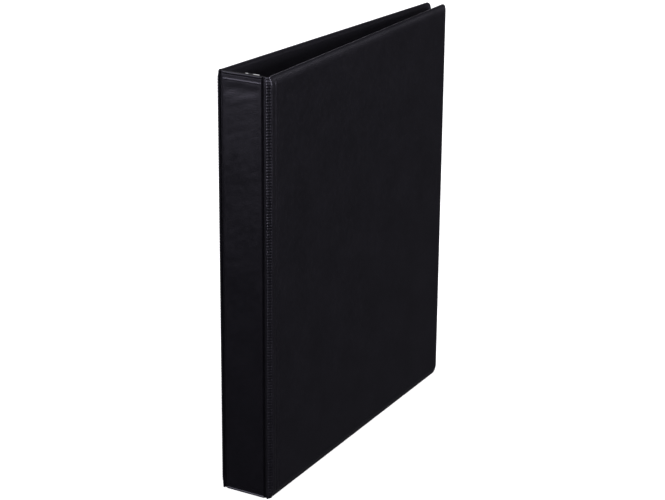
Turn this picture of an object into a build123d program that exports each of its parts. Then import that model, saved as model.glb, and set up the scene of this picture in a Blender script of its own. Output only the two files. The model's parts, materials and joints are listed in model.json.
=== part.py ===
from build123d import *
import os
from math import cos, radians, sin, sqrt

os.makedirs("parts", exist_ok=True)

# ---------------------------------------------------------------- driving dimensions, mm and degrees
# The binder stands on its lower edge. The spine faces -Y, the front cover is on +X, the back cover on -X.
HEIGHT = 292.0               # lower edge to upper edge
SPINE_WIDTH = 41.0           # outer plane of one cover to outer plane of the other, at the spine
COVER_LENGTH = 256.0         # spine's outer face to the fore edge, along a cover
FRONT_LEAN = 1.25            # how far the front cover leans in
BACK_LEAN = 4.35             # how far the back cover leans in

SHEET = 0.35                 # vinyl sheet
BOARD = 1.8                  # chipboard
PANEL = BOARD + 2 * SHEET    # a finished panel
WELD = 1.5                   # width of the flat weld round a panel's edge
SLOPE = 4.5                  # width over which the outer sheet climbs from the weld to the board's face
FORE_CORNER = 6.0            # radius of a cover's two outer corners

CORNER_CUT = 2.85            # how far the hinge strip cuts across the spine's corner
STRIP = 0.75                 # hinge strip's thickness: both sheets, welded
STRIP_END_GAP = 0.4          # hinge strip stops short of the lower and upper edge
COVER_START = 4.3            # where a cover's own sheets begin, from the spine's corner
COVER_BOARD_START = 7.6      # where a cover's board begins
SPINE_RIDGE = 15.0           # half the width of the spine's flat outer face
SPINE_BOARD_HALF = 14.6      # half the width of the spine's board
BOARD_INSET = 6.6            # board's edge in from the panel's edge
BOARD_CORNER = 1.0           # radius of a cover board's outer corners
GROOVE = [(15.0, 0.55), (16.1, 1.0), (17.05, 0.55), (17.3, 0.85), (16.15, 1.45), (15.0, 0.95)]  # in plan
LINER_CLIMB = [(17.2, 1.1), (17.5, 1.4)]     # where the spine's inner vinyl meets the hinge strip, in plan
LINER_EASE = 0.1             # liner starts to climb this far either side of the ridge
STRIP_ROUND = 0.1            # hinge strip's round middle stands this far proud of it
STRIP_TRIM = 0.1             # and its ends stop this far short of the panels

POCKET_SHEET = 0.3
POCKET_START = 34.0          # pocket's edge from the spine's corner
POCKET_HEIGHT = 124.0

RING_SPACING = 107.95        # 4 1/4 in between rings
RING_INNER_R = 9.525         # 3/4 in rings
WIRE_R = 1.25
RING_CENTRE = 12.0           # ring's centre above the spine's inner face
LEG_X = 5.4                  # where a ring's leg meets its rail
LEG_BEND_X = 6.4             # where the round of the ring ends and its leg begins
TOOTH = 1.1                  # reach of the tooth that locks a ring's two tips
TOOTH_HALF = 0.75            # tooth's half width, as a share of the wire's radius
TIP_GAP = 0.12
LEG_FOOT = 1.15              # a leg reaches this far below its rail's middle
SLOT_ROOM = 0.5              # housing's slots clear the legs by this

HOUSING_LENGTH = 264.0
HOUSING_HALF = 9.0
HOUSING_HEIGHT = 6.2
HOUSING_SIDE = 3.9           # height of the housing's upright sides
HOUSING_INNER_SIDE = 3.6     # and of their inner faces
HOUSING_STEEL = 0.9
RING_SLOT_X = 3.6            # the slots a ring's legs swing in, from the middle
RING_SLOT_Y = 2.2            # and from the spine's inner face
LIP_REACH = 1.7              # housing's lower lips, turned in under the rails
LIP_STEEL = 0.6
RAIL_PIVOT_X = 7.4           # the line each rail turns about
RAIL_PIVOT_Y = 2.5           # above the spine's inner face
RAIL_STEEL = 1.0
RAIL_TILT = 8.0              # rail's tilt when the rings are closed
RAIL_GAP = 0.35              # rail's inner edge to the centre plane
RAIL_EDGE = 0.3              # rail's outer edge beyond the line it turns about
RAIL_LENGTH = 251.0

RIVET_SPACING = 241.3        # 9 1/2 in
RIVET_R = 1.9
RIVET_HEAD_R = 3.4
RIVET_HEAD = 0.8
RIVET_TAIL_R = 3.6
RIVET_TAIL = 0.4
RIVET_DOME = 0.48            # radius round the head's rim
RIVET_ROOM = 0.9             # rails' cut-outs clear the rivets by this

TRIGGER_WIDTH = 10.4
TAB_TIP_R = 0.95             # rolled edge along the tab's tip
TONGUE_WIDTH = 2.4
TRIGGER_SLOT_HALF = 6.0      # half the width of the housing's cut-out for the trigger
TRIGGER_SLOT = 10.0          # length of that cut-out
TRIGGER_SLOT_Y = 2.0         # and its floor above the spine's inner face
PIN_Y = 4.2                  # trigger's pin above the spine's inner face
PIN_INSET = 3.0              # and in from the housing's end
PIN_R = 0.9
PIN_CLEARANCE = 0.05
BARREL_R = 1.75

# The upper trigger's outlines from the side: (above the spine's inner face, beyond the pin).
TAB = [(4.4, -0.8), (4.9, 2.4), (6.3, 7.0), (8.6, 11.2), (10.2, 13.6),
       (11.2, 12.9), (9.5, 10.5), (7.4, 6.6), (6.1, 2.2), (5.6, -0.4)]
TAB_TIP = (10.7, 13.3)
LOWER_TONGUE = [(3.3, -1.4), (0.25, -1.4), (0.25, -4.4), (0.75, -4.4), (0.75, -2.1), (3.3, -2.1)]
UPPER_TONGUE = [(3.65, -1.0), (3.65, -4.3), (3.1, -4.3), (3.1, -1.0)]

BIT = 0.01                   # cutting shapes run past a face by this

# ---------------------------------------------------------------- places worked out from them
HALF_WIDTH = SPINE_WIDTH / 2
MID_HEIGHT = HEIGHT / 2
BASE = PANEL                                 # the spine's inner face, where the mechanism sits
RING_R = RING_INNER_R + WIRE_R
RING_HEIGHTS = {"bottom": MID_HEIGHT - RING_SPACING, "middle": MID_HEIGHT, "top": MID_HEIGHT + RING_SPACING}
RIVET_HEIGHTS = [MID_HEIGHT - RIVET_SPACING / 2, MID_HEIGHT + RIVET_SPACING / 2]
HOUSING_TOP = MID_HEIGHT + HOUSING_LENGTH / 2
PIN_Z = HOUSING_TOP - PIN_INSET
TO_BOX_CENTRE = Location((0, -COVER_LENGTH * cos(radians(FRONT_LEAN)) / 2, 0))


def block(x0, x1, y0, y1, z0, z1):
    """A box between two corners."""
    return Location(((x0 + x1) / 2, (y0 + y1) / 2, (z0 + z1) / 2)) * Box(x1 - x0, y1 - y0, z1 - z0)


def prism(points, z0, z1):
    """A closed outline in plan, extruded from z0 to z1."""
    outline = make_face(Polyline(*points, close=True))
    return extrude(Location((0, 0, z0)) * outline, z1 - z0)


def cylinder(radius, start, end):
    """A round bar from one point to another."""
    axis = Vector(*end) - Vector(*start)
    seat = Plane(origin=start, z_dir=axis)
    return seat * Cylinder(radius, axis.length, align=(Align.CENTER, Align.CENTER, Align.MIN))


def export(shape, node):
    export_step(TO_BOX_CENTRE * shape, f"parts/{node}.step")


# ---------------------------------------------------------------- covers
# A cover is laid out in (s, z, t): s from the spine's corner to the fore edge, z up, t outwards from the
# inner face. The sketch plane's x is s and its y is z.

def cover_outline(inset, start, radius):
    """A panel's outline, with its two outer corners rounded."""
    s1 = COVER_LENGTH - inset
    z0 = inset
    z1 = HEIGHT - inset
    half = sqrt(0.5) * radius
    lower = Line((start, z0), (s1 - radius, z0))
    low_corner = ThreePointArc(lower @ 1, (s1 - radius + half, z0 + radius - half), (s1, z0 + radius))
    fore = Line(low_corner @ 1, (s1, z1 - radius))
    top_corner = ThreePointArc(fore @ 1, (s1 - radius + half, z1 - radius + half), (s1 - radius, z1))
    upper = Line(top_corner @ 1, (start, z1))
    hinge = Line(upper @ 1, (start, z0))
    return make_face([lower, low_corner, fore, top_corner, upper, hinge])


def raised(inset, start, low, high):
    """The sloping block that the outer sheet is drawn over."""
    foot = Location((0, 0, low)) * cover_outline(inset, start, FORE_CORNER - WELD)
    head = Location((0, 0, high)) * cover_outline(inset + SLOPE, start, BOARD_CORNER)
    return loft([foot, head], ruled=True)


def outer_sheet():
    """The outer vinyl: a flat weld on three sides, then a slope up to the board's face."""
    weld = extrude(Location((0, 0, SHEET)) * cover_outline(0, COVER_START, FORE_CORNER), SHEET)
    skin = raised(WELD, COVER_START, SHEET, PANEL)
    inside = raised(WELD + SHEET, COVER_START - 1, SHEET - BIT, PANEL - SHEET)
    beside_hinge = block(COVER_START - 1, COVER_BOARD_START - SHEET, 0, HEIGHT, 0, PANEL - SHEET)
    return (weld + skin) - inside - beside_hinge


def inner_liner():
    """The inner vinyl: flat, and climbing to meet the outer sheet beside the hinge."""
    flat = extrude(cover_outline(0, COVER_BOARD_START - SHEET, FORE_CORNER), SHEET)
    under = PANEL - SHEET
    climb = [
        (COVER_START, under - SHEET),
        (COVER_START, under),
        (COVER_BOARD_START - SHEET, SHEET),
        (COVER_BOARD_START - SHEET, 0),
    ]
    profile = Plane.XZ * make_face(Polyline(*climb, close=True))
    return flat + extrude(profile, -HEIGHT)


def cover_board():
    """The chipboard sealed inside a cover."""
    board = cover_outline(BOARD_INSET, COVER_BOARD_START, BOARD_CORNER)
    return extrude(Location((0, 0, SHEET)) * board, BOARD)


def pocket():
    """The inside pocket: one sheet, welded on three sides, open at its upper edge."""
    s1 = COVER_LENGTH - WELD
    z0 = WELD
    outline = [
        (POCKET_START, z0),
        (s1 - FORE_CORNER, z0),
        (s1, z0 + FORE_CORNER),
        (s1, POCKET_HEIGHT),
        (POCKET_START, POCKET_HEIGHT),
    ]
    face = make_face(Polyline(*outline, close=True))
    return extrude(Location((0, 0, -POCKET_SHEET)) * face, POCKET_SHEET)


def stand_cover(shape, lean, side):
    """Stand a cover's piece up at its corner of the spine. side is +1 at the front, -1 at the back."""
    corner = (HALF_WIDTH, 0, 0)
    along = (-sin(radians(lean)), cos(radians(lean)), 0)
    outwards = (cos(radians(lean)), sin(radians(lean)), 0)
    seat = Plane(origin=corner, x_dir=along, z_dir=outwards)
    stood = seat * (Location((0, 0, -PANEL)) * shape)
    if side < 0:
        stood = mirror(stood, Plane.YZ)
    return stood


# ---------------------------------------------------------------- spine

def spine_block(half_width, inset, slope, y_weld, y_face):
    """The spine's block between its two ridges, sloping in at both ends."""
    foot = block(-half_width, half_width, y_weld - BIT, y_weld, inset, HEIGHT - inset)
    lower = Plane.XZ.offset(-y_weld) * Rectangle(2 * half_width, HEIGHT - 2 * inset)
    upper = Plane.XZ.offset(-y_face) * Rectangle(2 * half_width, HEIGHT - 2 * (inset + slope))
    return foot + Location((0, 0, MID_HEIGHT)) * loft([lower, upper], ruled=True)


def spine_outer():
    """The spine's outer vinyl: flat face, grooves beside the hinge strips, and a weld at each end."""
    inner_half = SPINE_RIDGE - SHEET
    y_weld = PANEL - SHEET
    skin = spine_block(SPINE_RIDGE, WELD, SLOPE, y_weld, 0)
    inside = spine_block(inner_half, WELD + SHEET, SLOPE - SHEET, y_weld + BIT, SHEET)
    welds = block(-SPINE_RIDGE, SPINE_RIDGE, y_weld - SHEET, y_weld, 0, HEIGHT)
    cavity = block(-inner_half, inner_half, y_weld - 2 * SHEET, PANEL, BOARD_INSET, HEIGHT - BOARD_INSET)
    sheet = (skin + welds) - inside - cavity
    right = prism(GROOVE, 0, HEIGHT)
    return sheet + right + mirror(right, Plane.YZ)


def spine_liner(rivets):
    """The spine's inner vinyl, climbing at each side to the hinge strip."""
    edge = PANEL - SHEET
    near = [(0, edge), (SPINE_RIDGE - LINER_EASE, edge)]
    far = [(SPINE_RIDGE + LINER_EASE, PANEL), (0, PANEL)]
    right = prism(near + LINER_CLIMB + far, 0, HEIGHT)
    return right + mirror(right, Plane.YZ) - rivets


def spine_board(rivets):
    """The spine's chipboard, with the rivets' holes."""
    half = SPINE_BOARD_HALF
    board = block(-half, half, SHEET, PANEL - SHEET, BOARD_INSET, HEIGHT - BOARD_INSET)
    return board - rivets


def hinge_axis():
    """Middle of the hinge strip, in plan: the line a cover swings about."""
    inwards = CORNER_CUT / 2 + sqrt(0.5) * STRIP / 2
    return HALF_WIDTH - inwards, inwards


def hinge_strip(side):
    """The welded bar across the spine's corner, round in the middle where it bends."""
    x, y = hinge_axis()
    width = 2 * (CORNER_CUT * sqrt(0.5) - STRIP_TRIM)
    length = HEIGHT - 2 * STRIP_END_GAP
    bar = Box(width, STRIP, length)
    bead = Cylinder(STRIP / 2 + STRIP_ROUND, length)
    strip = Location((x, y, MID_HEIGHT), (0, 0, 45)) * (bar + bead)
    if side < 0:
        strip = mirror(strip, Plane.YZ)
    return strip


# ---------------------------------------------------------------- ring mechanism

def mounting_rivets():
    """Two rivets: a domed head on the housing, and a flat tail sunk in the board under the outer vinyl."""
    rivets = []
    crown = BASE + HOUSING_HEIGHT
    for z in RIVET_HEIGHTS:
        shank = cylinder(RIVET_R, (0, SHEET, z), (0, crown + RIVET_HEAD / 2, z))
        tail = cylinder(RIVET_TAIL_R, (0, SHEET, z), (0, SHEET + RIVET_TAIL, z))
        head = cylinder(RIVET_HEAD_R, (0, crown, z), (0, crown + RIVET_HEAD, z))
        head = fillet(head.edges().sort_by(Axis.Y)[-1], RIVET_DOME)
        rivets.append(shank + tail + head)
    return rivets


def housing_profile(half, side, height, foot):
    """The housing's arch in plan, closed along its foot."""
    left_side = Line((-half, foot), (-half, BASE + side))
    arch = ThreePointArc((-half, BASE + side), (0, BASE + height), (half, BASE + side))
    right_side = Line((half, BASE + side), (half, foot))
    base = Line((half, foot), (-half, foot))
    return make_face([left_side, arch, right_side, base])


def trigger_slot(z_end, upwards):
    """The housing's cut-out that a trigger swings in."""
    z0, z1 = sorted([z_end - upwards * TRIGGER_SLOT, z_end + upwards])
    y0 = BASE + TRIGGER_SLOT_Y
    return block(-TRIGGER_SLOT_HALF, TRIGGER_SLOT_HALF, y0, BASE + HOUSING_HEIGHT + 1, z0, z1)


def ring_housing(rivets):
    """The arched steel plate: lips under the rails, slots for the rings, cut-outs for the triggers."""
    z0 = MID_HEIGHT - HOUSING_LENGTH / 2
    outer_face = housing_profile(HOUSING_HALF, HOUSING_SIDE, HOUSING_HEIGHT, BASE)
    outer = extrude(Location((0, 0, z0)) * outer_face, HOUSING_LENGTH)
    inner_half = HOUSING_HALF - HOUSING_STEEL
    inner_height = HOUSING_HEIGHT - HOUSING_STEEL
    hollow_face = housing_profile(inner_half, HOUSING_INNER_SIDE, inner_height, BASE + LIP_STEEL)
    hollow = extrude(Location((0, 0, z0 - 1)) * hollow_face, HOUSING_LENGTH + 2)
    mouth_half = HOUSING_HALF - LIP_REACH
    mouth = block(-mouth_half, mouth_half, BASE - 1, BASE + LIP_STEEL + BIT, z0 - 1, HOUSING_TOP + 1)
    shell = outer - hollow - mouth
    slot_half = WIRE_R + SLOT_ROOM
    y0 = BASE + RING_SLOT_Y
    y1 = BASE + HOUSING_HEIGHT + 1
    for z in RING_HEIGHTS.values():
        for side in (-1, 1):
            x0, x1 = sorted([side * RING_SLOT_X, side * (HOUSING_HALF + 1)])
            shell = shell - block(x0, x1, y0, y1, z - slot_half, z + slot_half)
    shell = shell - trigger_slot(HOUSING_TOP, 1) - trigger_slot(z0, -1)
    for z in (PIN_Z, HEIGHT - PIN_Z):
        shell = shell - cross_bar(PIN_R, PIN_Y, z, HOUSING_HALF + 1)
    for rivet in rivets:
        shell = shell - rivet
    return shell


def ring(z):
    """One closed ring: a round of wire whose two ends turn down as legs to the rails."""
    centre = BASE + RING_CENTRE
    drop = sqrt(RING_R ** 2 - LEG_BEND_X ** 2)
    start = (LEG_BEND_X, centre - drop, z)
    end = (-LEG_BEND_X, centre - drop, z)
    path = ThreePointArc(start, (0, centre + RING_R, z), end)
    wire = sweep(Plane(origin=start, z_dir=path % 0) * Circle(WIRE_R), path=path)
    for side in (-1, 1):
        bend = (side * LEG_BEND_X, centre - drop, z)
        foot = (side * LEG_X, BASE + RAIL_PIVOT_Y - LEG_FOOT, z)
        wire = wire + Location(bend) * Sphere(WIRE_R) + cylinder(WIRE_R, bend, foot)
    return wire


def tooth(z, gap):
    """The pointed tooth at a ring's top. gap widens it into the notch that it sits in."""
    half = WIRE_R * TOOTH_HALF + gap
    face = make_face(Polyline((-TIP_GAP, -half), (TOOTH + gap, 0), (-TIP_GAP, half), close=True))
    y0 = BASE + RING_CENTRE + RING_R - 2 * WIRE_R
    upright = Plane(origin=(0, y0, z), x_dir=(1, 0, 0), z_dir=(0, 1, 0))
    return upright * extrude(face, 4 * WIRE_R)


def ring_halves(z):
    """A ring cut at its top, where a pointed tooth on one tip sits in a notch in the other."""
    whole = ring(z)
    reach = 4 * RING_R
    front_side = block(TIP_GAP / 2, reach, -reach, reach, z - reach, z + reach)
    back_side = block(-reach, -TIP_GAP / 2, -reach, reach, z - reach, z + reach)
    front_half = (whole & front_side) - tooth(z, TIP_GAP)
    back_half = (whole & back_side) + (whole & tooth(z, 0))
    return front_half, back_half


def rail(side, rings, rivets):
    """A toggle blade, tilted down to the middle when the rings are closed."""
    reach = (RAIL_PIVOT_X - RAIL_GAP) / cos(radians(RAIL_TILT))
    z0 = MID_HEIGHT - RAIL_LENGTH / 2
    blade = block(-reach, RAIL_EDGE, -RAIL_STEEL / 2, RAIL_STEEL / 2, z0, z0 + RAIL_LENGTH)
    blade = Location((RAIL_PIVOT_X, BASE + RAIL_PIVOT_Y, 0), (0, 0, RAIL_TILT)) * blade
    if side < 0:
        blade = mirror(blade, Plane.YZ)
    for half in rings:
        blade = blade - half
    for z in RIVET_HEIGHTS:
        blade = blade - cylinder(RIVET_R + RIVET_ROOM, (0, 0, z), (0, BASE + HOUSING_HEIGHT, z))
    return blade


def side_plate(outline, width):
    """A plate with an outline seen from the side, centred on the binder's middle."""
    points = [(BASE + y, PIN_Z + z) for y, z in outline]
    return extrude(Plane.YZ * make_face(Polyline(*points, close=True)), width / 2, both=True)


def cross_bar(radius, y, z, half_length):
    """A round bar from side to side."""
    return cylinder(radius, (-half_length, BASE + y, z), (half_length, BASE + y, z))


def trigger(upwards):
    """A lever: thumb tab with a rolled tip, barrel on its pin, and two tongues round the rails' ends."""
    tip_y, tip_z = TAB_TIP
    lever = side_plate(TAB, TRIGGER_WIDTH)
    lever = lever + cross_bar(TAB_TIP_R, tip_y, PIN_Z + tip_z, TRIGGER_WIDTH / 2)
    lever = lever + cross_bar(BARREL_R, PIN_Y, PIN_Z, TRIGGER_WIDTH / 2)
    lever = lever + side_plate(LOWER_TONGUE, TONGUE_WIDTH) + side_plate(UPPER_TONGUE, TONGUE_WIDTH)
    lever = lever - cross_bar(PIN_R + PIN_CLEARANCE, PIN_Y, PIN_Z, HALF_WIDTH)
    if not upwards:
        lever = mirror(lever, Plane.XY.offset(MID_HEIGHT))
    return lever


def trigger_pin(z):
    """The pin across the housing's end that a trigger turns on."""
    return cross_bar(PIN_R, PIN_Y, z, HOUSING_HALF)


# ---------------------------------------------------------------- the whole binder

for name, lean, side in (("front", FRONT_LEAN, 1), ("back", BACK_LEAN, -1)):
    export(stand_cover(outer_sheet(), lean, side), f"{name}_outer_vinyl")
    export(stand_cover(inner_liner(), lean, side), f"{name}_inner_liner")
    export(stand_cover(cover_board(), lean, side), f"{name}_board")
    export(stand_cover(pocket(), lean, side), f"{name}_pocket")
    export(hinge_strip(side), f"{name}_hinge_strip")

rivets = mounting_rivets()
export(Compound(children=rivets), "mounting_rivets")
export(spine_outer(), "spine_outer_vinyl")
export(spine_liner(rivets), "spine_inner_liner")
export(spine_board(rivets), "spine_board")
export(ring_housing(rivets), "ring_housing")

halves = {place: ring_halves(z) for place, z in RING_HEIGHTS.items()}
for place, (front_half, back_half) in halves.items():
    export(front_half, f"front_ring_{place}")
    export(back_half, f"back_ring_{place}")
export(rail(1, [pair[0] for pair in halves.values()], rivets), "front_rail")
export(rail(-1, [pair[1] for pair in halves.values()], rivets), "back_rail")

for place, upwards, z in (("top", True, PIN_Z), ("bottom", False, HEIGHT - PIN_Z)):
    export(trigger(upwards), f"{place}_trigger")
    export(trigger_pin(z), f"{place}_trigger_pin")
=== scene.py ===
"""Looks of a black vinyl ring binder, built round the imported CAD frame. Blender 4.5, metres."""

import json
import math

import bpy
import numpy as np
from mathutils import Matrix, Vector


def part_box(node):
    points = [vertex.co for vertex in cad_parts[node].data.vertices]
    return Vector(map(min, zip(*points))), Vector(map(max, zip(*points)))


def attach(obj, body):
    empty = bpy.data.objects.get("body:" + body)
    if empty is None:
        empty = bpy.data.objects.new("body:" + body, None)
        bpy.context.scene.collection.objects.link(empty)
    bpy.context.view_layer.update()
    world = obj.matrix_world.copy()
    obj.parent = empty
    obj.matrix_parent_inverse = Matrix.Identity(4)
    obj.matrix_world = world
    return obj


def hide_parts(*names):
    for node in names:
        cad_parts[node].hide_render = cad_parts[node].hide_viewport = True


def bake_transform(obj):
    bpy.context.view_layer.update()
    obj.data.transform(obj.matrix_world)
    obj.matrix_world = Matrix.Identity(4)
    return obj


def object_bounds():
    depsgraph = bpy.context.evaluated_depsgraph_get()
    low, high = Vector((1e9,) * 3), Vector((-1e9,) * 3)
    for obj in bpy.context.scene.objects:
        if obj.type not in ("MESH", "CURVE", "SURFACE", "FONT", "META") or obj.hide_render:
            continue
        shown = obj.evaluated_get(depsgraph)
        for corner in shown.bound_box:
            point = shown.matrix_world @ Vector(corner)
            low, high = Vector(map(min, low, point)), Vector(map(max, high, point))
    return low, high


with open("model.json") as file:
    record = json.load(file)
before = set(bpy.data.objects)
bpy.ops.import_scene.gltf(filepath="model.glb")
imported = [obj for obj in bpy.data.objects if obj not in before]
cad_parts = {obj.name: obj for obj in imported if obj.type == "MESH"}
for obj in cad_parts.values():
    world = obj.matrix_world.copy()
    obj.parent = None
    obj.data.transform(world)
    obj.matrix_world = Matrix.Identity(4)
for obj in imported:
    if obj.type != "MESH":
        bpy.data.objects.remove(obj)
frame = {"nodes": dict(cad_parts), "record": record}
cad_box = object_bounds()

# ---------------------------------------------------------------- dimensions, in mm
# Plan coordinates are (x, y), with y from the spine's outer face. A cover is laid out in (s, z, t): s runs
# from the spine's corner to the fore edge, z up, and t outwards from the cover's inner face.
MM = 0.001
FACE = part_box("spine_outer_vinyl")[0].y    # the spine's outer face, in metres
HEIGHT = cad_box[1].z / MM
HALF_WIDTH = 20.5      # half the spine, corner to corner
LENGTH = 256.0         # a cover, from the spine's corner to its fore edge
PANEL = 2.5            # a finished panel, through both sheets and the board
SHEET = 0.35
FLANGE = 2 * SHEET     # the weld round a panel
CORNER_R = 6.0         # a cover's corners
LEAN = {"front": 1.25, "back": 4.35}    # degrees inwards, from square to the spine
SIDE = {"front": 1, "back": -1}
COVER_START = 4.3      # where a cover's outer skin meets the hinge band
LINER_START = 7.25     # where its lining begins to climb to the band
BOARD_START = 7.6
EDGE_ROUNDING = 0.3    # how far in from a cut edge its rounding reaches
BOARD_HALF = 14.6      # half the spine's board
RIDGE = 14.2           # from the spine's middle to the ridge along its sides
RIDGE_DROP = 4.6       # from the spine's ends to the ridge along them
RIDGE_CORNER = 2.6     # the ridge's radius at its corners
RIDGE_RISE = 0.03
RIB_PITCH = 1.95       # the hinge bands' ribs
RIB_DEPTH = 0.16


# ---------------------------------------------------------------- meshes

def to_row(points):
    """Points in mm, with y from the spine's outer face, to metres in the row frame."""
    return np.asarray(points, float) * MM + np.array([0, FACE, 0])


def sharp_mesh(name, points, faces, uv, angle=50):
    """A mesh in the row frame, smooth but for edges sharper than angle, with uv in metres."""
    mesh = bpy.data.meshes.new(name)
    mesh.from_pydata(to_row(points).tolist(), [], faces)
    mesh.polygons.foreach_set("use_smooth", [True] * len(mesh.polygons))
    mesh.set_sharp_from_angle(angle=math.radians(angle))
    layer = mesh.uv_layers.new(name="UVMap")
    index = np.zeros(len(mesh.loops), np.int32)
    mesh.loops.foreach_get("vertex_index", index)
    layer.data.foreach_set("uv", (np.asarray(uv, float)[index] * MM).ravel())
    return mesh


def piece(name, points, faces, uv, material, angle=50):
    """A new piece, closed by its own faces, in the row frame."""
    obj = bpy.data.objects.new(name, sharp_mesh(name, points, faces, uv, angle))
    bpy.context.scene.collection.objects.link(obj)
    obj.data.materials.append(material)
    return obj


def closed(front, back, faces):
    """A sheet's two sides, joined round its edge: the points and faces of one closed solid."""
    count = len(front)
    edges = {(a, b) for f in faces for a, b in zip(f, f[1:] + f[:1])}
    walls = [(b, a, a + count, b + count) for a, b in sorted(edges) if (b, a) not in edges]
    far = [tuple(v + count for v in reversed(f)) for f in faces]
    return np.vstack([front, back]), list(faces) + far + walls


def grid_faces(rows, columns):
    """The quads of a grid whose points run along its columns first."""
    return [
        (r * columns + c, r * columns + c + 1, (r + 1) * columns + c + 1, (r + 1) * columns + c)
        for r in range(rows - 1) for c in range(columns - 1)
    ]


def steps(*runs):
    """Places along a line: each run is (start, end, spacing)."""
    out = []
    for start, end, spacing in runs:
        count = max(1, round(abs(end - start) / spacing))
        out += list(np.linspace(start, end, count, endpoint=False))
    return np.array(out + [runs[-1][1]])


def bell(x, middle, width):
    """A smooth bump of height 1."""
    return np.exp(-(((x - middle) / width) ** 2))


def rise(x, start, end):
    """0 before start, 1 after end, smooth between."""
    u = np.clip((x - start) / (end - start), 0, 1)
    return u * u * (3 - 2 * u)


def pillow(depth):
    """A padded edge's rise: steep soon after its start, and easing long before its end."""
    u = np.linspace(0, 1, 200)
    slope = u ** 0.9 * (1 - u) ** 2.0
    total = np.concatenate([[0], np.cumsum((slope[1:] + slope[:-1]) / 2)])
    return np.interp(depth, u, total / total[-1])


def wave(a, b, length, angle, phase):
    """A wave over the places (a, b), running along angle."""
    return np.sin((a * math.cos(angle) + b * math.sin(angle)) * math.tau / length + phase)


def waver(a, b, seed):
    """Slow, slight unevenness, about 1 high, the same each run."""
    rng = np.random.default_rng(seed)
    total = np.zeros(np.broadcast(a, b).shape)
    for length in (95.0, 60.0, 41.0, 27.0, 17.0):
        angle, phase = rng.uniform(0, math.tau, 2)
        total += wave(a, b, length, angle, phase) * length / 95
    return total / 2


def ripple(a, b, seed):
    """Finer unevenness, mostly in lines across, the same each run."""
    rng = np.random.default_rng(seed)
    total = np.zeros(np.broadcast(a, b).shape)
    for length in (14.0, 11.0, 8.5, 7.0, 5.5):
        angle = rng.uniform(-0.5, 0.5) + math.pi / 2
        phase = rng.uniform(0, math.tau)
        total += wave(a, b, length, angle, phase)
    return total


# ---------------------------------------------------------------- covers

# Where a cover's mesh has its points: shares of its straight edges, steps round a corner, and insets.
S_SHARE = np.append(steps((0, 0.03, 0.0025), (0.03, 0.985, 0.0133)), [1.0])
Z_SHARE = steps((0, 1, 0.009))
CORNER_STEPS = 12
INSETS = [0, 0.1, 0.25, 0.6, 0.9, 1.2, 1.5, 1.8, 2.2, 2.6, 3.0, 3.5, 4.0, 4.5, 5.0, 5.5,
          6.0, 6.4, 6.8, 7.2, 7.6, 8.2, 9.0, 10.0]


def cover_loop(inset):
    """One line of points along a cover's three free edges, inset from them."""
    radius = max(CORNER_R - inset, 0.8)
    s1 = LENGTH - inset
    straight_s = COVER_START + (s1 - radius - COVER_START) * S_SHARE
    straight_z = inset + radius + (HEIGHT - 2 * inset - 2 * radius) * Z_SHARE
    turn = np.linspace(0, math.pi / 2, CORNER_STEPS + 1)[1:-1]
    low = [(s1 - radius + radius * math.sin(a), inset + radius - radius * math.cos(a)) for a in turn]
    points = [(s, inset) for s in straight_s] + low + [(s1, z) for z in straight_z]
    points += [(s, HEIGHT - z) for s, z in reversed(low)]
    points += [(s, HEIGHT - inset) for s in reversed(straight_s)]
    return np.array(points)


def inner_grid(loop):
    """The points inside the innermost loop, row by row upwards, and how many rows and columns there are."""
    half = CORNER_STEPS // 2
    columns = len(S_SHARE) + half
    rows = len(Z_SHARE) + 2 * half
    lower = loop[:columns]
    fore = loop[columns - 1:columns - 1 + rows]
    upper = loop[::-1][:columns]
    u = (lower[:, 0] - COVER_START) / (lower[-1, 0] - COVER_START)
    v = (fore[:, 1] - fore[0, 1]) / (fore[-1, 1] - fore[0, 1])
    grid = np.zeros((rows, columns, 2))
    for r in range(rows):
        left = np.array([COVER_START, lower[0, 1] + v[r] * (upper[0, 1] - lower[0, 1])])
        for axis in (0, 1):
            across = (1 - u) * left[axis] + u * fore[r, axis]
            up = (1 - v[r]) * lower[:, axis] + v[r] * upper[:, axis]
            corners = (1 - u) * ((1 - v[r]) * lower[0, axis] + v[r] * upper[0, axis])
            corners = corners + u * ((1 - v[r]) * lower[-1, axis] + v[r] * upper[-1, axis])
            grid[r, :, axis] = across + up - corners
    return grid, rows, columns


def cover_surface():
    """A cover's face: points (s, z), how far each is inset, and the quads, facing outwards."""
    loops = [cover_loop(inset) for inset in INSETS]
    along = len(loops[0])
    points = list(np.vstack(loops))
    inset = list(np.repeat(INSETS, along))
    faces = grid_faces(len(loops), along)
    grid, rows, columns = inner_grid(loops[-1])
    last = (len(loops) - 1) * along
    index = np.zeros((rows, columns), int)
    for r in range(rows):
        for c in range(columns):
            if r == 0:
                index[r, c] = last + c
            elif c == columns - 1:
                index[r, c] = last + columns - 1 + r
            elif r == rows - 1:
                index[r, c] = last + along - 1 - c
            else:
                index[r, c] = len(points)
                s, z = grid[r, c]
                points.append((s, z))
                inset.append(min(z, HEIGHT - z, LENGTH - s))
    faces += [
        (int(index[r, c]), int(index[r, c + 1]), int(index[r + 1, c + 1]), int(index[r + 1, c]))
        for r in range(rows - 1) for c in range(columns - 1)
    ]
    return np.array(points), np.array(inset), faces


def stand_cover(s, z, t, which):
    """Cover coordinates to plan coordinates and height."""
    lean = math.radians(LEAN[which])
    out = t - PANEL
    x = HALF_WIDTH - s * math.sin(lean) + out * math.cos(lean)
    y = s * math.cos(lean) + out * math.sin(lean)
    return np.stack([x * SIDE[which], y, z], axis=-1)


def facing(faces, which):
    """Quads face outwards on the front cover as they are, and reversed on the mirrored back cover."""
    return faces if SIDE[which] > 0 else [tuple(reversed(f)) for f in faces]


# The lines pressed beside a hinge: each at s, with its height and width.
HINGE_LINES = [(5.3, 0.03, 0.6), (4.2, -0.04, 0.5), (7.3, -0.24, 0.9), (9.1, 0.08, 0.5), (10.6, -0.08, 0.7),
               (12.0, 0.03, 0.5)]


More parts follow.
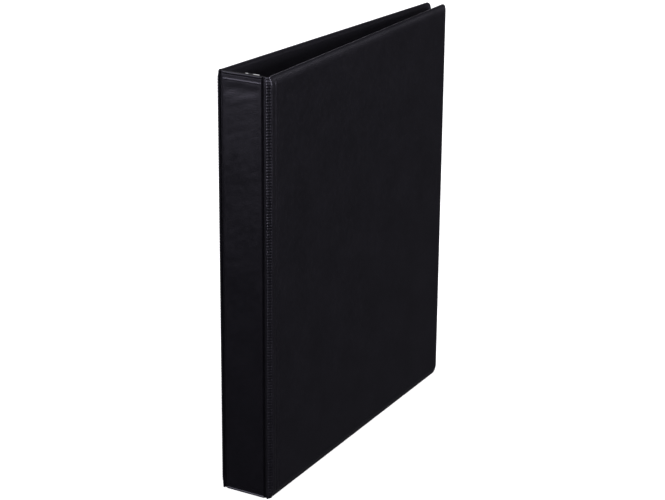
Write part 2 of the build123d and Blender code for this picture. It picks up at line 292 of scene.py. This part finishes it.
def cover_climb(inset):
    """How far the outer sheet has climbed from its weld to its full height, from 0 to 1."""
    return pillow((inset - 0.4) / 6.6)


def outer_height(s, z, inset, seed):
    """How far the outer sheet stands from the cover's inner face."""
    flange = FLANGE - 0.14 * (1 - np.sqrt(np.clip(inset / EDGE_ROUNDING, 0, 1)))
    climb = cover_climb(inset)
    t = flange + (PANEL - flange) * climb
    fore = rise(LENGTH - s, 10, 4) * rise(inset, 3.5, 6.0)
    t = t + 0.05 * fore * bell(LENGTH - s, 6.6 + 0.35 * np.sin(z / 23.0) + 0.2 * np.sin(z / 9.0 + 1), 0.5)
    hinge = sum(height * bell(s, place, width) for place, height, width in HINGE_LINES)
    return t + hinge * climb ** 2 + 0.035 * waver(s, z, seed) * climb * rise(inset, 5, 16)


def make_covers(outer_vinyl, inner_vinyl, pocket_vinyl):
    """Each cover's outer skin, lining and inside pocket."""
    points, inset, faces = cover_surface()
    s, z = points.T
    for which in ("front", "back"):
        body = f"{which}_cover"
        upper = outer_height(s, z, inset, 3 + SIDE[which])
        lower = np.maximum(upper - SHEET, np.where(inset > 6.3, PANEL - SHEET + 0.004, 0))
        lower = np.where(s < BOARD_START, upper - SHEET + 0.02, lower)
        uv = np.vstack([points, points])
        outside = stand_cover(s, z, upper, which)
        inside = stand_cover(s, z, lower, which)
        solid, quads = closed(outside, inside, facing(faces, which))
        skin = piece(f"{which}_outer_skin", solid, quads, uv, outer_vinyl)
        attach(skin, body)
        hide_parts(f"{which}_outer_vinyl")
        make_liner(which, points, inset, upper, faces, inner_vinyl)
        make_pocket(which, pocket_vinyl)


def make_liner(which, points, inset, upper, faces, material):
    """The inner sheet: flat over the board, dipped in along the welds, climbing beside the hinge."""
    s, z = points.T
    climb = rise(s, LINER_START, COVER_START)
    rounding = 0.12 * (1 - np.sqrt(np.clip(inset / EDGE_ROUNDING, 0, 1)))
    dip = 0.07 * bell(inset, 1.9, 0.45) - 0.03 * bell(inset, 3.4, 0.9)
    low = rounding + dip * (1 - climb) + 0.02 * waver(s, z, 11) * rise(inset, 4, 14)
    low = np.minimum(low + (PANEL - 2 * SHEET - low) * climb, np.maximum(upper - 2 * SHEET, rounding))
    high = np.minimum(low + SHEET, np.where(s < LINER_START, upper - 0.2, SHEET))
    inner = stand_cover(s, z, low, which)
    outer = stand_cover(s, z, high, which)
    reverse = facing([tuple(reversed(f)) for f in faces], which)
    solid, quads = closed(inner, outer, reverse)
    liner = piece(f"{which}_lining", solid, quads, np.vstack([points, points]), material)
    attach(liner, f"{which}_cover")
    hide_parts(f"{which}_inner_liner")


POCKET_S = (34.0, 254.3)
POCKET_Z = (1.6, 124.0)
POCKET_WIDTH = POCKET_S[1] - POCKET_S[0]
POCKET_HEIGHT = POCKET_Z[1] - POCKET_Z[0]


def make_pocket(which, material):
    """The inside pocket: welded at its sides and foot, a little slack along its open upper edge."""
    s_line = steps((0, 4, 0.5), (4, 212, 4.0), (212, POCKET_WIDTH, 0.6)) + POCKET_S[0]
    z_line = steps((0, 4, 0.5), (4, 118, 3.2), (118, POCKET_HEIGHT, 0.5)) + POCKET_Z[0]
    s, z = np.meshgrid(s_line, z_line)
    near_foot = np.clip(1 - (z - POCKET_Z[0]) / CORNER_R, 0, 1)
    corner = CORNER_R * (1 - np.sqrt(1 - near_foot ** 2))
    s = POCKET_S[0] + (s - POCKET_S[0]) * (POCKET_WIDTH - corner) / POCKET_WIDTH
    edge = np.minimum(np.minimum(s - POCKET_S[0], POCKET_S[1] - corner - s), z - POCKET_Z[0])
    slack = rise(edge, 1.6, 30) * rise(z, 40, 122) * (0.5 + 0.12 * waver(s, z, 21))
    bead = 0.1 * rise(z, POCKET_Z[1] - 3.2, POCKET_Z[1] - 2.6)
    weld = 0.12 * bell(edge, 1.3, 0.35)
    far = 0.3 + slack + bead - weld
    near = 0.02 + slack * 0.96
    shape = s.shape
    flat = [a.ravel() for a in (s, z)]
    faces = grid_faces(*shape)
    reverse = facing([tuple(reversed(f)) for f in faces], which)
    solid, quads = closed(
        stand_cover(*flat, -far.ravel(), which), stand_cover(*flat, -near.ravel(), which), reverse
    )
    uv = np.stack(flat, axis=-1)
    pocket = piece(f"{which}_inside_pocket", solid, quads, np.vstack([uv, uv]), material)
    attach(pocket, f"{which}_cover")
    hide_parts(f"{which}_pocket")


# ---------------------------------------------------------------- spine

def spine_grid():
    """The places (x, z) of the spine's outer face, closer together along its edges."""
    half = steps((0, 11, 0.7), (11, 13.4, 0.3), (13.4, 16.25, 0.1))
    x_line = np.concatenate([-half[::-1], half[1:]])
    end = steps((0, 2.2, 0.1), (2.2, 4.0, 0.2), (4.0, 5.4, 0.1), (5.4, 16, 0.35))
    z_line = np.concatenate([end, steps((16.4, HEIGHT - 16.4, 1.4)), HEIGHT - end[::-1]])
    return np.meshgrid(x_line, z_line)


def through(x, points):
    """A smooth line through points (x, y), level before the first and after the last."""
    places, heights = np.array(points).T
    slopes = np.gradient(heights, places)
    slopes[0] = slopes[-1] = 0
    i = np.clip(np.searchsorted(places, x) - 1, 0, len(places) - 2)
    width = places[i + 1] - places[i]
    u = np.clip((x - places[i]) / width, 0, 1)
    near = heights[i] * (1 + 2 * u) * (1 - u) ** 2 + heights[i + 1] * u * u * (3 - 2 * u)
    return near + width * (slopes[i] * u * (1 - u) ** 2 - slopes[i + 1] * u * u * (1 - u))


# How far the spine's outer face lies back: by the distance from its ends, the distance below its top, and the
# distance from its middle.
END_LINE = [(0, 0.5), (0.12, 0.3), (0.4, 0.2), (0.85, 0.2), (1.2, 0.36), (1.45, 0.42), (1.55, 0.16),
            (1.75, 0.12), (2.8, 0.11), (4.0, 0.105), (4.35, 0.075), (4.65, 0.035), (5.1, 0.05), (5.8, 0.05)]
DENT_LINE = [(5.3, 0), (6.4, 0.01), (7.6, 0.085), (8.9, 0.18), (10.0, 0.205), (11.8, 0.165), (13.8, 0.07),
             (16.5, 0)]
FLANK_LINE = [(13.9, 0), (14.35, 0.06), (14.7, 0.3), (15.02, 0.92), (15.35, 1.22), (15.7, 1.3), (16.3, 1.3)]
DEEPEST = 0.26         # the board is just behind


def spine_face(x, z):
    """How far back the outer face lies: raised over its board, ridged round it, and dented below the top."""
    inset = np.minimum(z, HEIGHT - z)
    across = np.abs(x)
    drop = np.hypot(through(across, FLANK_LINE), through(inset, END_LINE))
    corner_x = np.clip(across - (RIDGE - RIDGE_CORNER), 0, None)
    corner_z = np.clip(RIDGE_DROP + RIDGE_CORNER - inset, 0, None)
    ridge = bell(np.hypot(corner_x, corner_z), RIDGE_CORNER, 0.34) * (corner_x + corner_z > 0)
    dent = through(HEIGHT - z - 0.9 * (x / 15) ** 2, DENT_LINE) * rise(BOARD_HALF - across, 0, 5.4)
    uneven = 0.022 * waver(x, z, 31) + 0.0095 * ripple(x, z, 32)
    inside = rise(RIDGE - across, 0, 3) * rise(inset, RIDGE_DROP, 8)
    return np.maximum(drop - RIDGE_RISE * ridge + np.minimum(dent + uneven * inside, DEEPEST), -0.02)


def make_spine(outer_vinyl, inner_vinyl):
    """The spine's outer skin, welded to the lining at both ends, and the lining."""
    x, z = spine_grid()
    inset = np.minimum(z, HEIGHT - z)
    flat = np.stack([x.ravel(), spine_face(x, z).ravel(), z.ravel()], axis=-1)
    behind = flat.copy()
    welded = (PANEL - SHEET) * (1 - rise(inset, 1.2, 2.2)).ravel()
    behind[:, 1] = np.minimum(np.maximum(flat[:, 1] + SHEET, welded), PANEL - SHEET - 0.01)
    uv = flat[:, [0, 2]]
    solid, quads = closed(flat, behind, grid_faces(*x.shape))
    skin = piece("spine_outer_skin", solid, quads, np.vstack([uv, uv]), outer_vinyl)
    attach(skin, "spine")
    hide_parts("spine_outer_vinyl")
    make_spine_lining(z[:, 0], inner_vinyl)


def make_spine_lining(z_line, material):
    """The spine's inner sheet, turned out at both sides to meet the hinges."""
    half = steps((0, 13, 1.3), (13, 17.45, 0.22))
    x_line = np.concatenate([-half[::-1], half[1:]])
    x, z = np.meshgrid(x_line, z_line)
    inset = np.minimum(z, HEIGHT - z)
    drop = rise(np.abs(x), 14.6, 17.4)
    y = PANEL - 1.1 * drop - 0.05 * bell(inset, 2.0, 0.5) * (1 - drop) + 0.012 * waver(x, z, 41) * (1 - drop)
    near = np.stack([x.ravel(), y.ravel(), z.ravel()], axis=-1)
    far = near.copy()
    far[:, 1] = near[:, 1] - SHEET + 0.02
    uv = near[:, [0, 2]]
    faces = [tuple(reversed(f)) for f in grid_faces(*x.shape)]
    solid, quads = closed(near, far, faces)
    lining = piece("spine_lining", solid, quads, np.vstack([uv, uv]), material)
    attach(lining, "spine")
    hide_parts("spine_inner_liner")


# ---------------------------------------------------------------- hinges

def curve(points, count):
    """A smooth line through points, sampled evenly at count places."""
    points = np.asarray(points, float)
    padded = np.vstack([2 * points[0] - points[1], points, 2 * points[-1] - points[-2]])
    out = []
    for i in range(1, len(padded) - 2):
        p0, p1, p2, p3 = padded[i - 1:i + 3]
        for u in np.linspace(0, 1, 12, endpoint=False):
            out.append(0.5 * (2 * p1 + (p2 - p0) * u + (2 * p0 - 5 * p1 + 4 * p2 - p3) * u ** 2
                              + (3 * p1 - p0 - 3 * p2 + p3) * u ** 3))
    out = np.array(out + [padded[-2]])
    length = np.concatenate([[0], np.cumsum(np.linalg.norm(np.diff(out, axis=0), axis=1))])
    places = np.linspace(0, length[-1], count)
    return np.stack([np.interp(places, length, out[:, k]) for k in (0, 1)], axis=-1)


def on_cover(s, t, which):
    """A cover point in plan, before the back cover is mirrored."""
    x, y, _ = stand_cover(np.float64(s), np.float64(0), np.float64(t), which)
    return (x * SIDE[which], y)


# A hinge band's outer and inner sides, in plan and then on the cover.
HINGE_OUTER = [(15.95, 1.28), (16.35, 1.31), (16.66, 1.2), (16.84, 0.8), (16.98, 0.32), (17.16, 0.08),
               (17.5, 0.03), (17.84, 0.09), (18.02, 0.38), (18.14, 0.8), (18.55, 1.26), (19.15, 1.88),
               (19.66, 2.36), (20.05, 2.84), (20.28, 3.3)]
OUTER_ON_COVER = [(3.75, 2.45), (4.05, 2.47), (4.36, 2.42)]
HINGE_INNER = [(15.95, 1.72), (16.3, 1.78), (16.75, 1.66), (17.1, 1.3), (17.4, 1.06), (17.65, 1.08),
               (17.9, 1.3), (18.1, 1.52), (18.45, 1.9), (18.95, 2.42), (19.4, 2.95), (19.62, 3.2)]
INNER_ON_COVER = [(3.5, 1.7), (3.9, 1.82), (4.36, 1.86)]
BAND_POINTS = 41
RIBS_START = (-1.75, -1.35)    # across the band, from the spine's corner
RIBS_END = (1.9, 1.5)


def band_ribs(outer, z_line):
    """How far each of a band's points stands out, row by row up the ribs."""
    wave_up = np.clip(np.sin(z_line * math.tau / RIB_PITCH) * 1.5 + 0.45, -1, 1)
    along = (outer - [HALF_WIDTH, 0]) @ np.array([math.sqrt(0.5), math.sqrt(0.5)])
    ribbed = rise(along, *RIBS_START) * rise(along, *RIBS_END)
    return RIB_DEPTH / 2 * wave_up[:, None] * ribbed[None, :]


def band_sink(edge):
    """How far a band's points sink near its ends: its cover side goes down with the cover's own weld."""
    across = np.linspace(0, 1, BAND_POINTS)
    turn = across * math.pi / 2
    inwards = np.stack([-np.sin(turn), np.cos(turn)], axis=-1)
    fall = (PANEL - FLANGE) * (1 - cover_climb(edge))
    amount = 0.15 * (1 - rise(edge, EDGE_ROUNDING, 3.4))[:, None] + fall[:, None] * across[None, :] ** 3
    return amount[:, :, None] * inwards[None, :, :]


def band_sides(which, outer, inner, z_line):
    """The points of a band's two sides, in plan coordinates and height."""
    edge = np.minimum(z_line, HEIGHT - z_line)
    depth = band_ribs(outer, z_line)
    end = 0.15 * (1 - np.sqrt(np.clip(edge / EDGE_ROUNDING, 0, 1)))[:, None]
    out_dir = np.array([math.sqrt(0.5), -math.sqrt(0.5)])
    height = np.broadcast_to(z_line[:, None, None], (len(z_line), BAND_POINTS, 1))
    sides = []
    for line, lift in ((outer, depth - end), (inner, end - 0.3 * depth)):
        plan = line[None, :, :] + lift[:, :, None] * out_dir + band_sink(edge)
        block = np.concatenate([plan, height], axis=2)
        block[:, :, 0] *= SIDE[which]
        sides.append(block.reshape(-1, 3))
    return sides


def make_hinge(which, material):
    """The welded strip across the spine's corner: ribbed between two beads, and curving round to meet the
    cover.
    """
    outer = curve(HINGE_OUTER + [on_cover(s, t, which) for s, t in OUTER_ON_COVER], BAND_POINTS)
    inner = curve(HINGE_INNER + [on_cover(s, t, which) for s, t in INNER_ON_COVER], BAND_POINTS)
    ribbed_z = steps((EDGE_ROUNDING, HEIGHT - EDGE_ROUNDING, RIB_PITCH / 8))
    z_line = np.concatenate([[0, 0.12], ribbed_z, [HEIGHT - 0.12, HEIGHT]])
    length = np.concatenate([[0], np.cumsum(np.linalg.norm(np.diff(outer, axis=0), axis=1))])
    u, v = np.meshgrid(length, z_line)
    uv = np.stack([u.ravel() + 40, v.ravel()], axis=-1)
    faces = facing(grid_faces(len(z_line), BAND_POINTS), which)
    solid, quads = closed(*band_sides(which, outer, inner, z_line), faces)
    hinge = piece(f"{which}_hinge_band", solid, quads, np.vstack([uv, uv]), material, 60)
    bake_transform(hinge)
    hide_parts(f"{which}_hinge_strip")


# ---------------------------------------------------------------- materials

class Nodes:
    """A node material, with short ways to add and join nodes."""

    def __init__(self, name, **fixed):
        self.material = bpy.data.materials.new(name)
        self.material.use_nodes = True
        self.tree = self.material.node_tree
        self.shader = self.tree.nodes["Principled BSDF"]
        for socket, value in fixed.items():
            self.shader.inputs[socket.replace("_", " ")].default_value = value

    def add(self, kind, inputs=(), **settings):
        """A new node, with its settings, and a value or a link for each of its named inputs."""
        node = self.tree.nodes.new(f"ShaderNode{kind}")
        for key, value in settings.items():
            setattr(node, key, value)
        for socket, value in dict(inputs).items():
            self.put(node.inputs[socket], value)
        return node

    def put(self, socket, value):
        """Link the socket to another node's output, or give it a fixed value."""
        if isinstance(value, bpy.types.NodeSocket):
            self.tree.links.new(value, socket)
        else:
            socket.default_value = value

    def coordinates(self, kind="UV"):
        return self.add("TexCoord").outputs[kind]

    def noise(self, where, scale, detail=2.0, roughness=0.5, stretch=None):
        if stretch:
            where = self.add("Mapping", {"Vector": where, "Scale": stretch}).outputs["Vector"]
        inputs = {"Vector": where, "Scale": scale, "Detail": detail, "Roughness": roughness}
        return self.add("TexNoise", inputs).outputs["Fac"]

    def cells(self, where, scale, feature="F1", smooth=None):
        inputs = {"Vector": where, "Scale": scale}
        if smooth is not None:
            inputs["Smoothness"] = smooth
        return self.add("TexVoronoi", inputs, feature=feature).outputs["Distance"]

    def spread(self, value, low, high, from_low=0.0, from_high=1.0):
        """The value, spread from its own range to low and high."""
        inputs = {"Value": value, "From Min": from_low, "From Max": from_high, "To Min": low, "To Max": high}
        return self.add("MapRange", inputs).outputs["Result"]

    def mix(self, factor, a, b):
        node = self.add("Mix", data_type="RGBA")
        for index, value in ((0, factor), (6, a), (7, b)):
            self.put(node.inputs[index], value)
        return node.outputs[2]

    def maths(self, operation, a, b):
        node = self.add("Math", operation=operation)
        self.put(node.inputs[0], a)
        self.put(node.inputs[1], b)
        return node.outputs[0]

    def bump(self, *heights):
        """Bumps one over another, each (height, depth in metres)."""
        normal = None
        for height, depth in heights:
            inputs = {"Height": height, "Distance": depth, "Strength": 1.0}
            if normal is not None:
                inputs["Normal"] = normal
            normal = self.add("Bump", inputs).outputs["Normal"]
        self.put(self.shader.inputs["Normal"], normal)

    def set(self, socket, value):
        self.put(self.shader.inputs[socket], value)


def vinyl(name, dark, light, rough, grain, mottle, gloss):
    """Embossed sheet vinyl: fine leather-like grain, slow mottling, and a little wear in the gloss."""
    n = Nodes(name, Specular_IOR_Level=gloss, Specular_Tint=(0.86, 0.83, 1.0, 1))
    where = n.coordinates()
    slow = n.noise(where, 38.0, 3.0, 0.55)
    middle = n.noise(where, 230.0, 2.0, 0.6)
    fine = n.noise(where, 2300.0, 1.5, 0.55)
    pebble = n.cells(where, 1350.0, "SMOOTH_F1", 0.35)
    patches = n.spread(n.maths("ADD", slow, n.maths("MULTIPLY", middle, 0.5)), 0.0, 1.0, 0.45, 1.05)
    n.set("Base Color", n.mix(patches, (*dark, 1), (*light, 1)))
    worn = n.maths("ADD", n.maths("MULTIPLY", middle, mottle), n.maths("MULTIPLY", slow, mottle * 0.7))
    n.set("Roughness", n.spread(worn, rough - 0.03, rough + 0.05, mottle * 0.55, mottle * 1.15))
    n.bump((pebble, grain), (fine, grain * 0.45), (middle, grain * mottle * 1.4))
    return n.material


def nickel_nodes(name, tint, rough, scratch):
    """Polished nickel plate: faint polishing lines, small stains and soft dents."""
    n = Nodes(name, Metallic=1.0)
    where = n.coordinates("Object")
    lines = n.noise(where, 900.0, 2.0, 0.6, (1.0, 1.0, 0.05))
    stain = n.noise(where, 160.0, 4.0, 0.6)
    soft = n.noise(where, 420.0, 1.0, 0.4)
    darker = tuple(c * 0.85 for c in tint)
    n.set("Base Color", n.mix(n.spread(stain, 0.0, 0.8, 0.35, 0.75), (*tint, 1), (*darker, 1)))
    n.set("Roughness", n.spread(lines, rough, rough + 0.14, 0.3, 0.75))
    n.bump((lines, scratch), (soft, scratch * 2.5))
    return n


def nickel(name, tint, rough, scratch):
    """The material of polished nickel plate."""
    return nickel_nodes(name, tint, rough, scratch).material


# A near-black patch painted across the trigger tab: painted shade in place of a dark gap in the tab's
# reflection, not real wear.
PAINTED_SHADE_OFFSET = 0.0013           # metres: the painted dark patch's middle is this far to the back cover's side
PAINTED_SHADE_FADE = (0.0024, 0.0014)   # metres: from its middle to its edge, and to where it is fully dark
PAINTED_SHADE_TINT = (0.05, 0.05, 0.055, 1)


def trigger_with_painted_shade(name, tint, rough, scratch):
    """Nickel plate with a dark patch painted a little to one side of the tab's middle: painted shade standing
    in for a dark gap in the tab's reflection, which splits its glint in two.
    """
    n = nickel_nodes(name, tint, rough, scratch)
    x = n.add("SeparateXYZ", {"Vector": n.coordinates("Object")}).outputs["X"]
    distance = n.add("Math", {0: n.maths("ADD", x, PAINTED_SHADE_OFFSET)}, operation="ABSOLUTE").outputs[0]
    plated = n.shader.inputs["Base Color"].links[0].from_socket
    # Painted shade: the base colour goes to near black in a band across the tab, to split its glint in two.
    n.set("Base Color", n.mix(n.spread(distance, 0.0, 1.0, *PAINTED_SHADE_FADE), plated, PAINTED_SHADE_TINT))
    return n.material


def zinc(name):
    """Zinc-plated strip: fine rolling lines and spangle."""
    n = Nodes(name, Metallic=1.0)
    where = n.coordinates("Object")
    lines = n.noise(where, 1500.0, 3.0, 0.6, (1.0, 1.0, 0.03))
    spangle = n.cells(where, 420.0)
    dark, light = (0.46, 0.47, 0.49, 1), (0.62, 0.62, 0.63, 1)
    n.set("Base Color", n.mix(n.spread(spangle, 0.0, 1.0, 0.1, 0.8), dark, light))
    n.set("Roughness", n.spread(lines, 0.3, 0.48, 0.3, 0.7))
    n.bump((lines, 0.00001))
    return n.material


def chipboard(name):
    """Grey-brown recycled board: fibres and specks."""
    n = Nodes(name, Specular_IOR_Level=0.2)
    where = n.coordinates("Object")
    fibre = n.noise(where, 700.0, 4.0, 0.65, (1.0, 1.0, 0.35))
    speck = n.cells(where, 900.0)
    base = n.mix(n.spread(fibre, 0.0, 1.0, 0.3, 0.7), (0.27, 0.23, 0.18, 1), (0.42, 0.37, 0.30, 1))
    n.set("Base Color", n.mix(n.spread(speck, 0.55, 0.0, 0.0, 0.25), base, (0.10, 0.09, 0.08, 1)))
    n.set("Roughness", n.spread(fibre, 0.8, 0.95))
    n.bump((fibre, 0.00006))
    return n.material


def finish_steel():
    """The mechanism and the boards keep their CAD shape, and get their own materials."""
    looks = {
        "housing_steel": nickel("housing_nickel", (0.76, 0.76, 0.78), 0.16, 0.000006),
        "rail_steel": zinc("rail_zinc"),
        "ring_wire": nickel("ring_nickel", (0.80, 0.80, 0.82), 0.10, 0.000004),
        "trigger_steel": trigger_with_painted_shade("trigger_nickel", (0.80, 0.80, 0.82), 0.13, 0.000005),
        "rivet_steel": nickel("rivet_nickel", (0.74, 0.74, 0.76), 0.18, 0.000006),
        "chipboard": chipboard("grey_chipboard"),
    }
    for part in frame["record"]["subparts"]:
        if part["material_slot"] in looks:
            mesh = frame["nodes"][part["node"]].data
            mesh.materials.clear()
            mesh.materials.append(looks[part["material_slot"]])


# ---------------------------------------------------------------- studio

FLOOR_HALF = 30.0      # metres
FLOOR_GLOW = 0.62      # the floor's own light, for a white ground under a dim studio


def floor_material():
    """Smooth pale paper, a little uneven."""
    n = Nodes("pale_floor", Specular_IOR_Level=0.1)
    where = n.coordinates("Object")
    shade = n.noise(where, 3.0, 3.0, 0.5)
    n.set("Base Color", n.mix(shade, (0.90, 0.90, 0.90, 1), (0.93, 0.93, 0.93, 1)))
    n.set("Roughness", n.spread(n.noise(where, 400.0), 0.75, 0.9))
    n.bump((n.noise(where, 900.0), 0.00002))
    n.shader.inputs["Emission Color"].default_value = (1, 1, 1, 1)
    n.shader.inputs["Emission Strength"].default_value = FLOOR_GLOW
    return n.material


def make_floor():
    """A wide pale floor, which the glossy vinyl doesn't mirror."""
    mesh = bpy.data.meshes.new("floor")
    corners = [(x * FLOOR_HALF, y * FLOOR_HALF, 0) for x, y in ((-1, -1), (1, -1), (1, 1), (-1, 1))]
    mesh.from_pydata(corners, [], [(0, 1, 2, 3)])
    floor = bpy.data.objects.new("floor", mesh)
    bpy.context.scene.collection.objects.link(floor)
    mesh.materials.append(floor_material())
    floor.visible_glossy = False


def lamp(name, kind, energy, place, look_at, colour=(1, 1, 1), **settings):
    """A lamp at place, turned to look_at."""
    light = bpy.data.lights.new(name, kind)
    light.energy = energy
    light.color = colour
    for key, value in settings.items():
        setattr(light, key, value)
    obj = bpy.data.objects.new(name, light)
    bpy.context.scene.collection.objects.link(obj)
    obj.location = place
    obj.rotation_euler = (Vector(look_at) - Vector(place)).to_track_quat("-Z", "Y").to_euler()
    return obj


AMBIENT = 0.058


def make_world():
    """Dim all round, so that black vinyl stays black, and pale where the camera looks past the floor."""
    world = bpy.data.worlds.new("studio")
    bpy.context.scene.world = world
    world.use_nodes = True
    tree = world.node_tree
    dim = tree.nodes["Background"]
    dim.inputs["Color"].default_value = (0.92, 0.90, 1.0, 1)
    dim.inputs["Strength"].default_value = AMBIENT
    pale = tree.nodes.new("ShaderNodeBackground")
    pale.inputs["Color"].default_value = (1, 1, 1, 1)
    rays = tree.nodes.new("ShaderNodeLightPath")
    mix = tree.nodes.new("ShaderNodeMixShader")
    tree.links.new(rays.outputs["Is Camera Ray"], mix.inputs["Fac"])
    tree.links.new(dim.outputs["Background"], mix.inputs[1])
    tree.links.new(pale.outputs["Background"], mix.inputs[2])
    tree.links.new(mix.outputs["Shader"], tree.nodes["World Output"].inputs["Surface"])


AIM = (0, 0, 0.25)
LIGHT_TINT = (0.95, 0.93, 1.0)


def softbox(name, energy, azimuth, distance, height, size):
    """A soft rectangle facing the binder. Azimuth 0 is ahead of the spine, 90 on the front cover's side."""
    angle = math.radians(azimuth)
    place = (distance * math.sin(angle), -distance * math.cos(angle), height)
    lamp(name, "AREA", energy, place, AIM, LIGHT_TINT, shape="RECTANGLE", size=size[0], size_y=size[1])


def make_lights():
    """A wide soft sky, a low wide softbox ahead on the left, and three on the right for welds and cover."""
    lamp("overhead", "SUN", 1.6, (0, 0, 3), (0, 0, 0), angle=math.radians(110))
    softbox("key", 5.9, -40.0, 1.0, 0.37, (1.05, 0.28))
    softbox("side", 6.0, 72.0, 2.5, 0.6, (0.5, 0.9))
    softbox("strip", 28.0, 112.0, 2.5, 0.6, (0.3, 0.9))
    softbox("rim", 25.0, 150.0, 2.5, 1.75, (1.6, 0.7))


CAMERA_TURN = (30.077, 19.483, 0.459)          # degrees: yaw, pitch and roll
CAMERA_PLACE = (640.75, -990.82, 592.28)       # mm, in plan
CAMERA_SENSOR = 36.0                           # mm
CAMERA_LENS = 104.546165                       # mm


def make_camera():
    """The photograph's view, from above and to the right of the spine."""
    yaw, pitch, roll = (math.radians(angle) for angle in CAMERA_TURN)
    back = Vector((math.sin(yaw) * math.cos(pitch), -math.cos(yaw) * math.cos(pitch), math.sin(pitch)))
    right = Vector((math.cos(yaw), math.sin(yaw), 0))
    up = back.cross(right)
    turned_right = right * math.cos(roll) + up * math.sin(roll)
    turned_up = up * math.cos(roll) - right * math.sin(roll)
    data = bpy.data.cameras.new("camera")
    data.sensor_width = CAMERA_SENSOR
    data.lens = CAMERA_LENS
    data.clip_start, data.clip_end = 0.05, 100
    camera = bpy.data.objects.new("camera", data)
    bpy.context.scene.collection.objects.link(camera)
    axes = Matrix((turned_right, turned_up, back)).transposed().to_4x4()
    camera.matrix_world = Matrix.Translation(Vector(to_row(CAMERA_PLACE))) @ axes
    bpy.context.scene.camera = camera


# ---------------------------------------------------------------- the whole scene

bpy.context.scene.view_settings.view_transform = "Standard"
outer_vinyl = vinyl("black_outer_vinyl", dark=(0.0012, 0.0011, 0.0018), light=(0.0022, 0.0020, 0.0031),
                    rough=0.32, grain=0.00003, mottle=0.5, gloss=0.42)
inner_vinyl = vinyl("black_inner_vinyl", dark=(0.0026, 0.0024, 0.0038), light=(0.0044, 0.0041, 0.0060),
                    rough=0.50, grain=0.00004, mottle=0.4, gloss=0.36)
pocket_vinyl = vinyl("black_pocket_vinyl", dark=(0.0030, 0.0028, 0.0042), light=(0.0050, 0.0047, 0.0068),
                     rough=0.38, grain=0.00002, mottle=0.4, gloss=0.42)
hinge_vinyl = vinyl("black_hinge_vinyl", dark=(0.0014, 0.0013, 0.0020), light=(0.0026, 0.0024, 0.0036),
                    rough=0.30, grain=0.00003, mottle=0.5, gloss=0.68)

make_covers(outer_vinyl, inner_vinyl, pocket_vinyl)
make_spine(outer_vinyl, inner_vinyl)
for name in ("front", "back"):
    make_hinge(name, hinge_vinyl)
finish_steel()
make_floor()
make_world()
make_lights()
make_camera()
